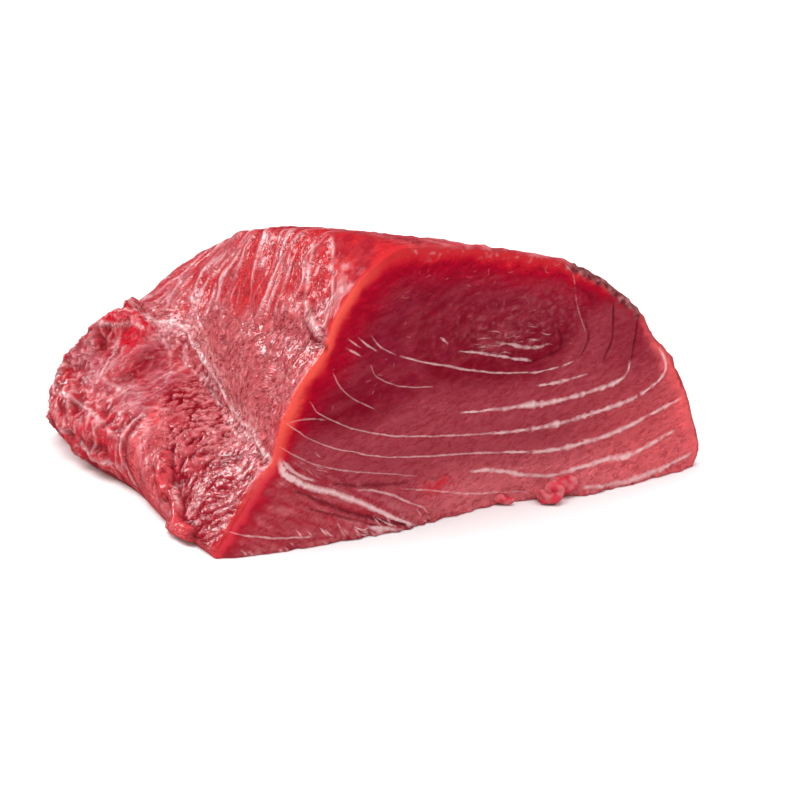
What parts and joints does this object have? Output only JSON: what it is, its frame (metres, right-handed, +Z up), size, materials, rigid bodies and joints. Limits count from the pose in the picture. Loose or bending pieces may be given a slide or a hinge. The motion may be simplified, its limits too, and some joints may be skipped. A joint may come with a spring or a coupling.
{
  "type": "raw tuna loin block",
  "caption": "Thick block of raw red tuna loin with one flat cut face, a skin side with folds and silvery membrane, and a flat underside.",
  "frame": {"origin": "under the middle of the block's box, on the surface it rests on", "axes": "+X along the front cut, the longest side; +Y from the front cut into the block; +Z up, the shortest side"},
  "size_m": [0.168, 0.1402, 0.0804],
  "materials": {
    "raw_tuna": "raw red fish flesh, wet and glossy, with fine white lines"
  },
  "bodies": {
    "root": {"tuna_steak": "raw_tuna"}
  },
  "joints": []
}
